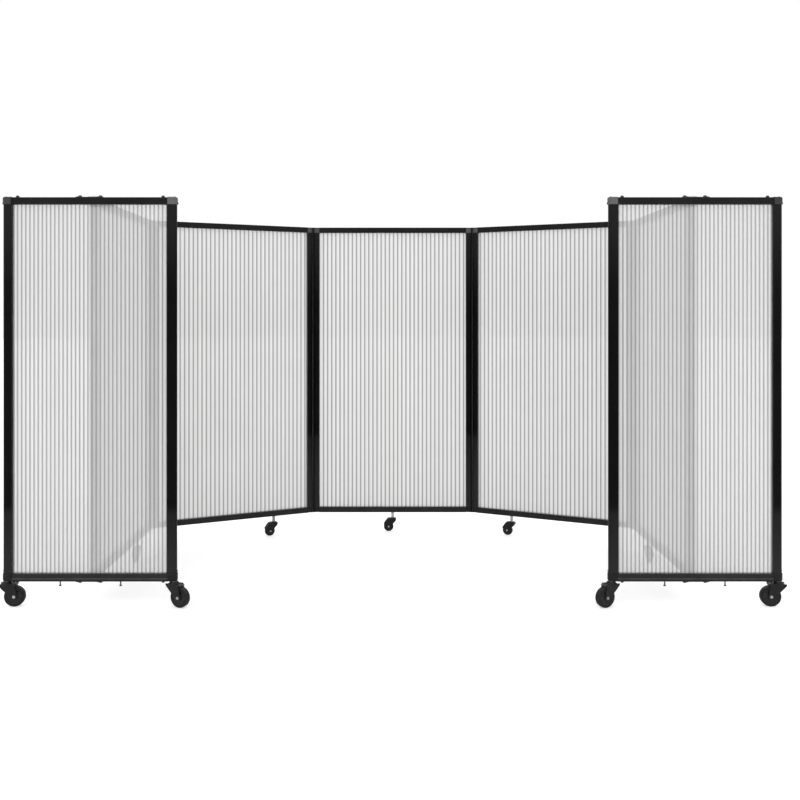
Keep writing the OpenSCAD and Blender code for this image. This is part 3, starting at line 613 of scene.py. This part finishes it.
def sheet(panel, cut):
    """Both skins of a fluted sheet. At d flutes from the nearest web each one lies
    SHEET_HALF - dip exp(-(d / 0.08)^2) - bow cos(turn d) from the middle."""
    width, pitch = cut["width"], cut["pitch"]
    dip, bow = 0.22 * MM, 0.05 * MM
    web = -cut["web"] if panel.startswith("right") else cut["web"]
    steps = np.array([0, 0.04, 0.08, 0.13, 0.2, 0.35, 0.5, 0.65, 0.8, 0.87, 0.92, 0.96])
    ends = np.array([-width / 2 - web, width / 2 - web]) / pitch
    whole = np.arange(math.floor(ends[0]), math.ceil(ends[1]))
    along = (whole[:, None] + steps[None, :]).ravel()
    along = along[(along > ends[0] + 0.01) & (along < ends[1] - 0.01)]
    along = np.concatenate([ends[:1], along, ends[1:]])
    near = np.abs(along - np.round(along))
    skin = SHEET_HALF - dip * np.exp(-(near / 0.08) ** 2) - bow * np.cos(TURN * near)
    x = web + along * pitch
    ring_x = np.concatenate([x, x[::-1], x[:1]])
    ring_y = np.concatenate([-skin, skin[::-1], -skin[:1]])
    zero = np.zeros_like(ring_y)
    middle = (cut["low"] + cut["high"]) / 2
    rows = [(zero, cut["low"]), (ring_y, cut["low"]), (ring_y, middle), (ring_y, cut["high"]),
            (zero, cut["high"])]
    grid = np.stack([np.stack([ring_x, y, np.full(len(y), z)], -1) for y, z in rows])
    (px, py), turn = PANELS[panel]
    c, s = math.cos(math.radians(turn)), math.sin(math.radians(turn))

    def across(places):
        """Metres along the panel from its middle."""
        return (places[:, 0] - px) * c + (places[:, 1] - py) * s

    def flute_map(places):
        """Flutes across the sheet, and metres up it."""
        return np.stack([(across(places) - web) / pitch, places[:, 2]], -1)

    def rim_map(places):
        """Metres from the nearer post, and from the nearer rail."""
        return np.stack([width / 2 - SHEET_IN - np.abs(across(places)),
                         middle - cut["low"] - SHEET_IN - np.abs(places[:, 2] - middle)], -1)

    piece(f"{panel}_fluted_sheet", [placed(grid, (px, py), turn)], FINISH[cut["finish"]],
          f"{panel}_panel", (f"{panel}_sheet",), sharp=60.0,
          maps={"flutes": flute_map, "rim": rim_map})


for panel in PANELS:
    sheet(panel, END_SHEET if panel.endswith("_end") else FOLDING_SHEET)


# ---- screws and caps of the end panels ---------------------------------------------------

def dome_screw(head_r, head_h, shank_r, shank_l, socket_r):
    """A domed head on a short straight side, a six-sided socket sunk in it, and a shank
    below. The dome's height falls as the cube of the radius."""
    r = np.concatenate([np.linspace(0, 1.35 * socket_r, 7),
                        np.linspace(1.5 * socket_r, head_r, 7)])
    h = head_h * (1 - 0.55 * (r / head_r) ** 3)

    def socket(radius, height, angle):
        """The top sinks inside a hexagon whose flats lie at socket_r."""
        flat = socket_r / np.cos((angle + math.pi / 6) % (math.pi / 3) - math.pi / 6)
        sunk = 1 - smooth_step(radius / flat, 0.86, 1.0)
        top = (radius <= 1.4 * socket_r) & (height > 0)
        return radius, np.where(top, height - 0.45 * head_h * sunk, height)

    profile = np.concatenate([np.stack([r, h], -1), [[head_r, 0], [shank_r, 0],
                                                     [shank_r, -shank_l], [0, -shank_l]]])
    return turned(profile, around=36, shape=socket)


def facing(points, way):
    """Turns a screw that looks up to look down or sideways."""
    x, y, z = points[..., 0], points[..., 1], points[..., 2]
    return np.stack({"up": (x, y, z), "down": (x, -y, -z), "right": (z, y, -x),
                     "left": (-z, y, x)}[way], -1)


def end_screws(side):
    """All screws of one end panel, in the panel's own frame: rails, brackets, caps, sides."""
    rail = dome_screw(head_r=6.6 * MM, head_h=8.6 * MM, shank_r=2.4 * MM, shank_l=7 * MM,
                      socket_r=2.6 * MM)
    pad = dome_screw(head_r=6.8 * MM, head_h=5.6 * MM, shank_r=2.4 * MM, shank_l=7 * MM,
                     socket_r=2.6 * MM)
    small = dome_screw(head_r=3.5 * MM, head_h=2.6 * MM, shank_r=1.4 * MM, shank_l=5 * MM,
                       socket_r=1.3 * MM)
    grids = []
    for x in (-RAIL_SCREW_X, RAIL_SCREW_X):
        grids.append(facing(rail, "up") + np.array([x, 0, FRAME_TOP]))
        grids.append(facing(rail, "down") + np.array([x, 0, FRAME_LOW]))
    for x in (-PAD_SCREW_X, PAD_SCREW_X):
        grids.append(facing(pad, "up") + np.array([x, 0, FRAME_TOP + PAD_THICK]))
        grids.append(facing(pad, "down") + np.array([x, 0, FRAME_LOW - PAD_THICK]))
    for sign, way in ((-1, "left"), (1, "right")):
        grids.append(facing(small, "up")
                     + np.array([sign * CAP_SCREW_X, 0, FRAME_TOP + CAP_THICK]))
        for x, height in SIDE_SCREWS:
            grids.append(facing(small, way) + np.array([sign * x, 0, height]))
    spot = PANELS[f"{side}_end"][0]
    piece(f"{side}_end_socket_screws", [placed(g, spot, 0.0) for g in grids],
          FINISH["screw"], f"{side}_end_panel", (f"{side}_end_screws",))


def pivot_cap(side):
    """Pale cap pressed over the top pivot: a straight rim and a soft shoulder to a flat top."""
    profile = np.array([[0, 6.2], [4.6, 6.2], [5, 6.3], [8, 6.33], [15, 6.3], [17.75, 6.25],
                        [19.2, 5.9], [20.3, 5.2], [21, 4.2], [21.27, 3], [21.27, 0.4],
                        [21, 0.1], [20.5, 0.05], [0, 0.05]]) * MM
    x, y = PANELS[f"{side}_end"][0]
    cap = turned(profile, 64, at=(x, y + PIVOT_BACK, PIVOT_CAP_LOW))
    piece(f"{side}_pivot_cap", [cap], FINISH["silver"], f"{side}_end_panel", ())


for side in ("left", "right"):
    end_screws(side)
    pivot_cap(side)


# ---- castors -----------------------------------------------------------------------------

def wheel_grids(size):
    """Tyre and wheel disc as two closed rings about Y. The tyre's tread is rounded by quarter
    circles and has two fine grooves; the disc is dished between hub and rim, with spokes
    that stand out where cos(n angle) is high."""
    r, w, hub, bore, rim = (size[k] for k in ("r", "w", "hub", "bore", "rim"))
    half, soft = w / 2, w / 5
    t = np.linspace(0, math.pi / 2, 6)
    corner = np.stack([r - soft + soft * np.sin(t), half - soft + soft * np.cos(t)], -1)
    side = np.array([[rim, half - 0.25 * soft], [rim + 0.03 * r, half - 0.1 * soft],
                     [rim + 0.06 * r, half], [rim + 0.4 * (r - rim), half],
                     [rim + 0.46 * (r - rim), half - 0.25 * MM],
                     [rim + 0.52 * (r - rim), half]])
    groove = np.array([[r, 0.30 * w], [r - 0.35 * MM, 0.285 * w], [r - 0.35 * MM, 0.265 * w],
                       [r, 0.25 * w], [r, 0.04 * w]])
    upper = np.concatenate([side, corner, groove])
    upper = upper[np.append(True, np.any(np.abs(np.diff(upper, axis=0)) > 1 / CELLS, axis=1))]
    lower = upper[::-1] * np.array([1, -1])
    tyre = np.concatenate([upper, lower, upper[:1]])

    dish = w / 8
    ring = np.array([[bore, half], [hub - 1.2 * MM, half], [hub - 0.3 * MM, half - 0.3 * MM],
                     [hub, half - 0.5 * dish], [hub + 0.6 * MM, half - dish],
                     [hub + 0.3 * (rim - hub), half - dish],
                     [hub + 0.6 * (rim - hub), half - dish],
                     [rim - 2.2 * MM, half - dish], [rim - 1.6 * MM, half - 0.6 * dish],
                     [rim - 1.2 * MM, half - 0.12 * dish], [rim, half - 0.1 * dish]])
    disc = np.concatenate([ring, ring[::-1] * np.array([1, -1]), ring[:1]])

    def spokes(radius, height, angle):
        """The dished part rises where cos(n angle) is high."""
        web = smooth_step(np.cos(size["spokes"] * angle), 0.35, 0.75)
        open_part = (radius > hub + 0.1 * MM) & (radius < rim - 1.8 * MM)
        lift = 0.62 * dish * web * open_part
        return radius, height + np.sign(height) * lift

    at = (size["trail"], 0.0, size["r"])
    return [turned(tyre, 96, "y", at)], [turned(disc, 96, "y", at, spokes)]


def hex_ring(flat_r, rounding):
    """Outline of a hexagon with softened corners, its flats at flat_r."""
    a = np.radians(np.arange(6) * 60.0 + 30.0)
    points = np.stack([np.cos(a), np.sin(a)], -1) * flat_r / math.cos(math.pi / 6)
    return softened(points, rounding, 3)


def bolt_grids(size):
    """Axle bolt and nut outside the legs: on each side a washer and a six-sided head with a
    domed end, on one shank along Y."""
    flat_r, leg = size["flat"], size["leg"]
    reach = 2.5 * MM
    axle = (size["trail"], size["r"])
    at = (axle[0], 0.0, axle[1])
    outline = hex_ring(flat_r, 1.2 * MM) + np.array(axle)
    washer = [[flat_r * 1.02, leg - 0.2 * MM], [flat_r * 1.22, leg - 0.2 * MM],
              [flat_r * 1.24, leg + 0.35 * MM], [flat_r * 1.18, leg + 0.5 * MM],
              [0, leg + 0.5 * MM]]
    cap = [[0, leg + reach + 0.35 * MM], [0.45 * flat_r, leg + reach + 0.3 * MM],
           [0.8 * flat_r, leg + reach], [0.86 * flat_r, leg + reach - 0.3 * MM],
           [0, leg + 1 * MM]]
    grids = []
    for way in (1, -1):
        grids.append(turned(np.array([[0, leg - 0.2 * MM]] + washer) * [1, way], 36, "y", at))
        grids.append(turned(np.array(cap) * [1, way], 36, "y", at))
        low, high = sorted((way * (leg + 0.4 * MM), way * (leg + reach)))
        grids.append(plate(outline, low, high, 0.35 * MM, axle, 3))
    shank = size["bore"] - 0.05 * MM
    grids.append(turned([[0, -leg], [shank, -leg], [shank, leg], [0, leg]], 24, "y", at))
    return grids


def threaded(r, low, high, pitch, depth, around=28):
    """A threaded stem: the radius follows depth |2 frac(z / pitch - angle / turn) - 1|."""
    count = int(round((high - low) / pitch * 6))
    z = np.linspace(low, high, count + 1)
    profile = np.concatenate([[[0, low]], np.stack([np.full(count + 1, r), z], -1), [[0, high]]])

    def thread(radius, height, angle):
        """The radius by height and angle, but not in the end faces' middle points."""
        wave = np.abs(2 * np.mod(height / pitch - angle / TURN, 1.0) - 1)
        return np.where(radius > 0, radius - depth * wave, 0.0), height

    return turned(profile, around, shape=thread)


def large_fork_grids():
    """Pressed fork of a large castor: two rounded leg plates, a bell-shaped crown with a ball
    race and a cross web, all in the castor's own frame."""
    leg = [[-26.4, 86.5], [-26.8, 80], [-5, 57], [18, 38], [18.2, 27], [39.8, 27], [40, 40],
           [32.6, 80], [31.5, 88], [20, 86.6]]
    radii = np.array([2, 4, 18, 10, 10.8, 10.8, 12, 5, 4.6, 5]) * MM
    outline = counter_clockwise(softened(np.array(leg)[::-1] * MM, radii[::-1])[::-1])
    grids = [plate(outline, low * MM, (low + 3) * MM, 0.9 * MM, (8 * MM, 68 * MM))
             for low in (14, -17)]
    crown = np.array([[0, 80], [21, 80], [22.6, 80.4], [23.2, 81.4], [23.2, 83.6], [22.5, 84.5],
                      [21, 84.9], [20.6, 85.5], [20.6, 86.5], [19.6, 87.3], [17.8, 88.3],
                      [16.6, 90], [16, 91.8], [15.4, 92.8], [14.2, 93.1], [0, 93.1]]) * MM
    grids.append(turned(crown, 72))
    return grids


def large_metal_grids():
    """Bright parts of a large castor: swivel washers and nut on the stem, the stem, the bolt."""
    collar = np.array([[0, 93], [10.5, 93], [10.8, 93.3], [10.8, 93.9], [7.9, 94.1], [7.9, 95.3],
                       [7.5, 95.7], [5.5, 95.7], [5.5, 118], [4.7, 119.7], [0, 119.7]]) * MM
    return [turned(collar)] + bolt_grids(LARGE)


def pedal_grids():
    """Brake pedal: a barrel round its pin and a tongue that droops, with five ribs across its
    top, and the pin through both ears."""
    barrel = arc(PEDAL_PIN, 3.6 * MM, 100, 285, 14)
    tip = arc((37.3 * MM, 80.8 * MM), 2 * MM, -70, 80, 8)
    s = np.linspace(0.08, 0.9, 31)
    ribs = 0.32 * np.maximum(np.sin(s * 10 * math.pi), 0)
    top = np.stack([37.6 - 9.3 * s, 82.8 + 3.3 * s + ribs], -1) * MM
    outline = np.concatenate([tip, top, barrel])
    body = plate(outline, -12.9 * MM, 12.9 * MM, 0.8 * MM, (31 * MM, 82.3 * MM))
    pin = np.array([[0, -17.5], [1.6, -17.5], [2, -17.2], [2, 17.2], [1.6, 17.5], [0, 17.5]]) * MM
    return [body, turned(pin, 24, "y", (PEDAL_PIN[0], 0, PEDAL_PIN[1]))]


def small_fork_grids():
    """Moulded fork of a small castor: two rounded cheeks and a hood that bridges them between
    its outside curve and an arc round the wheel."""
    cheek = [[-17, 65.5], [-17.3, 54], [11.4, 24], [11.5, 15.6], [28.5, 15.6], [29, 25],
             [45.6, 34.6], [39, 46.6], [24, 65.6]]
    radii = np.array([4, 9, 5, 8.4, 8.4, 5, 5, 12, 9]) * MM
    outline = counter_clockwise(softened(np.array(cheek) * MM, radii))
    grids = [plate(outline, low * MM, (low + 3) * MM, 1.1 * MM, (12 * MM, 44 * MM))
             for low in (10.5, -13.5)]
    inner = arc((20 * MM, 24 * MM), 26 * MM, 26, 148, 24)
    knots = np.array([[44.6, 36.0], [38.6, 46.4], [24, 65.2], [0, 65.2], [-16.6, 65.0],
                      [-16.8, 54.6], [-3.5, 40.2]]) * MM
    span = np.linspace(0, 1, len(inner))
    reach = np.append(0, np.cumsum(np.linalg.norm(np.diff(knots, axis=0), axis=1)))
    outer = np.stack([np.interp(span, reach / reach[-1], knots[:, i]) for i in (0, 1)], -1)
    grids.append(channel(outer, inner, -10.8 * MM, 10.8 * MM))
    boss = np.array([[0, 60], [11.5, 60], [11.5, 65.4], [10.6, 66.4], [8.2, 67], [0, 67]]) * MM
    grids.append(turned(boss))
    return grids


def small_metal_grids():
    """Threaded stem of a small castor in a plain sleeve with its jam nut under the rail, and
    the axle bolt."""
    stem = threaded(5.75 * MM, 66 * MM, 106 * MM, 1.75 * MM, 0.75 * MM)
    nut = plate(hex_ring(8.2 * MM, 1 * MM), 91 * MM, 95.6 * MM, 0.5 * MM, (0, 0), 3, "z")
    sleeve = turned(np.array([[0, 68], [6.4, 68], [6.8, 68.4], [6.8, 90.2], [6.4, 90.6],
                              [0, 90.6]]) * MM, 32)
    return [stem, sleeve, nut] + bolt_grids(SMALL)


def castor(key, spot, heading, small):
    """One castor: tyre and disc on its roller, fork, bright parts and, on a large one, the
    pedal's tongue. Each part is its label, its grids, its finish, and its body, the node it
    stands for and its slot."""
    tyre, disc = wheel_grids(SMALL if small else LARGE)
    shell, bright = (small_fork_grids(), small_metal_grids()) if small else (
        large_fork_grids(), large_metal_grids())
    size = "small" if small else "large"
    roller = (f"{key}_roller", (f"{key}_wheel",), f"{size}_wheel")
    carrier = (f"{key}_castor", (f"{key}_fork",), f"{size}_fork")
    parts = [("tyre", tyre, "tyre", roller), ("hub", disc, "hub", roller),
             ("fork_shell", shell, "hood" if small else "fork", carrier),
             ("stem_and_bolt", bright, "zinc", carrier)]
    if not small:
        parts.append(("brake_tongue", pedal_grids(), "pedal",
                      (f"{key}_brake_pedal", (f"{key}_pedal",), "pedal")))
    for label, grids, kind, (body, stands_for, slot) in parts:
        piece(f"{key}_{label}", [placed(g, spot, heading) for g in grids], FINISH[kind], body,
              stands_for)


for key, (spot, heading) in LARGE_CASTORS.items():
    castor(key, spot, heading, small=False)
for key, (spot, heading) in SMALL_CASTORS.items():
    castor(key, spot, heading, small=True)


# ---- finishes of the part's own solids ---------------------------------------------------

# Finish by the ending of the node's name: the first ending that fits counts
KEPT = {"_end_posts": "end_post", "_posts": "post", "_end_rails": "end_rail",
        "_rails": "rail", "_corner_blocks": "block", "_corner_caps": "cap",
        "_hinge": "hinge", "_pivot_brackets": "bracket", "_screws": "screw",
        "_stop_pins": "screw", "_fork": "fork", "_wheel": "tyre", "_pedal": "pedal",
        "_end_sheet": "end_sheet", "_sheet": "folding_sheet"}
for name, thing in nodes.items():
    kind = next(value for ending, value in KEPT.items() if name.endswith(ending))
    thing.data.materials.clear()
    thing.data.materials.append(FINISH[kind])


# ---- floor, light and camera -------------------------------------------------------------

# Light that the floor gives off where it is seen, and how much less behind a sheet; strength
# of the surround, and how much more where it is seen
GLOW, GLOW_LOST = 0.42, 0.2
SKY, SKY_SEEN = 0.88, 0.12


def seen_directly(tree):
    """1 for rays from the camera, from a mirror-like surface or through glass."""
    path = add(tree, "ShaderNodeLightPath")
    return calc(tree, "ADD", calc(tree, "ADD", path.outputs["Is Camera Ray"],
                                  path.outputs["Is Glossy Ray"]),
                path.outputs["Is Transmission Ray"], clamp=True)


def pale_floor():
    """A wide pale disc with faint mottling; where it is seen directly it gives off a little
    light of its own, less behind a sheet, so that it reads as white paper, keeps its shadows
    and is no paler than the backdrop behind the sheets."""
    made = bpy.data.materials.new("pale_floor")
    made.use_nodes = True
    tree = made.node_tree
    shader = tree.nodes["Principled BSDF"]
    tone = mixed(tree, noise(tree, 3.0, 4.0), colour(0.90, 0.90, 0.90), colour(0.87, 0.87, 0.87))
    put(tree, shader.inputs["Base Color"], tone)
    shader.inputs["Roughness"].default_value = 0.9
    shader.inputs["Specular IOR Level"].default_value = 0.0
    shader.inputs["Emission Color"].default_value = colour(1, 1, 1)
    behind = calc(tree, "MINIMUM",
                  add(tree, "ShaderNodeLightPath").outputs["Transparent Depth"], 1.0)
    glow = calc(tree, "SUBTRACT", GLOW, calc(tree, "MULTIPLY", behind, GLOW_LOST))
    put(tree, shader.inputs["Emission Strength"],
        calc(tree, "MULTIPLY", seen_directly(tree), glow))
    angle = np.linspace(0, TURN, 97)
    radii = np.array([0.0, 2.0, 6.0, 15.0, 40.0])
    grid = np.stack([radii[:, None] * np.cos(angle), radii[:, None] * np.sin(angle),
                     np.zeros((len(radii), len(angle)))], -1)
    grid[:, -1] = grid[:, 0]
    places, quads, tips = seal(grid)
    mesh = bpy.data.meshes.new("floor")
    mesh.from_pydata(places.tolist(), [], quads.tolist() + tips.tolist())
    mesh.materials.append(made)
    floor = bpy.data.objects.new("floor", mesh)
    bpy.context.scene.collection.objects.link(floor)


def soft_lamp(name, away, spread_degrees, strength):
    """A far, broad lamp that shines from the direction away onto the partition, so that near
    and far panels get the same light."""
    data = bpy.data.lights.new(name, "SUN")
    data.angle = math.radians(spread_degrees)
    data.energy = strength
    lamp = bpy.data.objects.new(name, data)
    bpy.context.scene.collection.objects.link(lamp)
    lamp.location = away
    lamp.rotation_euler = (math.acos(away[2] / math.hypot(*away)), 0.0,
                           math.atan2(away[1], away[0]) + math.pi / 2)


def sky():
    """An even pale surround, white where it is seen directly."""
    world = bpy.data.worlds.new("surround")
    world.use_nodes = True
    tree = world.node_tree
    back = tree.nodes["Background"]
    back.inputs["Color"].default_value = colour(1, 1, 1)
    put(tree, back.inputs["Strength"],
        calc(tree, "ADD", SKY, calc(tree, "MULTIPLY", seen_directly(tree), SKY_SEEN)))
    bpy.context.scene.world = world


pale_floor()
sky()
soft_lamp("key", away=(-5.0, -9.0, 6.5), spread_degrees=40.0, strength=0.45)
soft_lamp("fill", away=(5.5, -9.0, 4.0), spread_degrees=50.0, strength=0.35)
soft_lamp("back", away=(0.5, 9.5, 6.5), spread_degrees=50.0, strength=0.4)

camera = bpy.data.cameras.new("camera")
camera.sensor_width = SENSOR_MM
camera.lens = LENS_MM
camera.shift_x, camera.shift_y = LENS_SHIFT
eye = bpy.data.objects.new("camera", camera)
eye.location = EYE
eye.rotation_euler = (math.pi / 2, 0.0, 0.0)
bpy.context.scene.collection.objects.link(eye)
bpy.context.scene.camera = eye
bpy.context.scene.view_settings.view_transform = "Standard"
